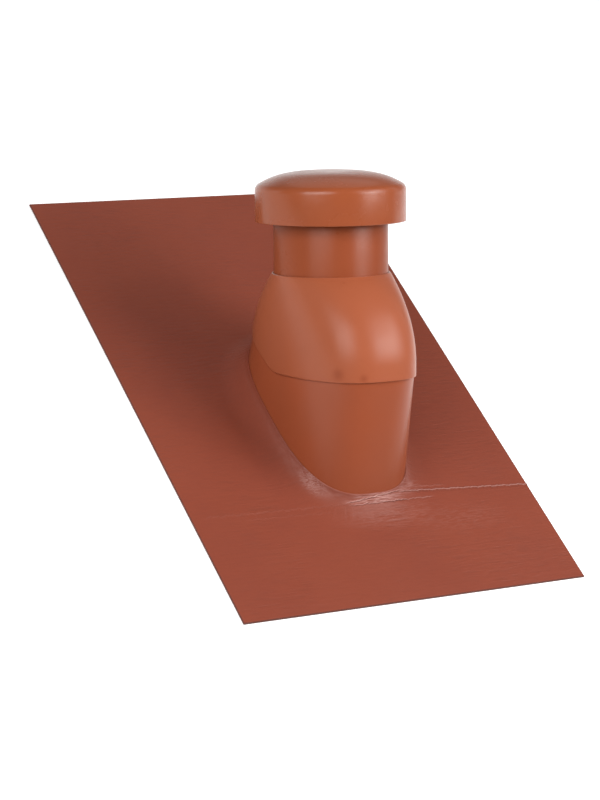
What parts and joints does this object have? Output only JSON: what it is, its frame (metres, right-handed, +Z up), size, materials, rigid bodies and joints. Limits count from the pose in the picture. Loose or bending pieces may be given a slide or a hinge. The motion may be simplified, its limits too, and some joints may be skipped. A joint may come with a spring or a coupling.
{
  "type": "roof vent hood",
  "caption": "Plumb vent pipe with a round rain cap, rising through a two-part oval hood on a rectangular malleable flashing for a pitched roof",
  "frame": {"origin": "middle of the flashing's underside, on the roof plane", "axes": "+Z up off the roof plane, +Y up the slope of the roof and along the flashing's length, +X across the roof. The pipe and cap lean towards +Y by the roof's pitch of 37.4 degrees, so that they stand plumb on such a roof."},
  "size_m": [0.426, 0.655, 0.2808],
  "materials": {
    "flashing": "terracotta malleable flashing, satin, finely creped",
    "hood_plastic": "terracotta moulded plastic, satin gloss"
  },
  "bodies": {
    "root": {"flashing_sheet": "flashing", "lower_hood": "hood_plastic", "upper_hood": "hood_plastic", "vent_pipe": "hood_plastic", "rain_cap": "hood_plastic"}
  },
  "joints": []
}
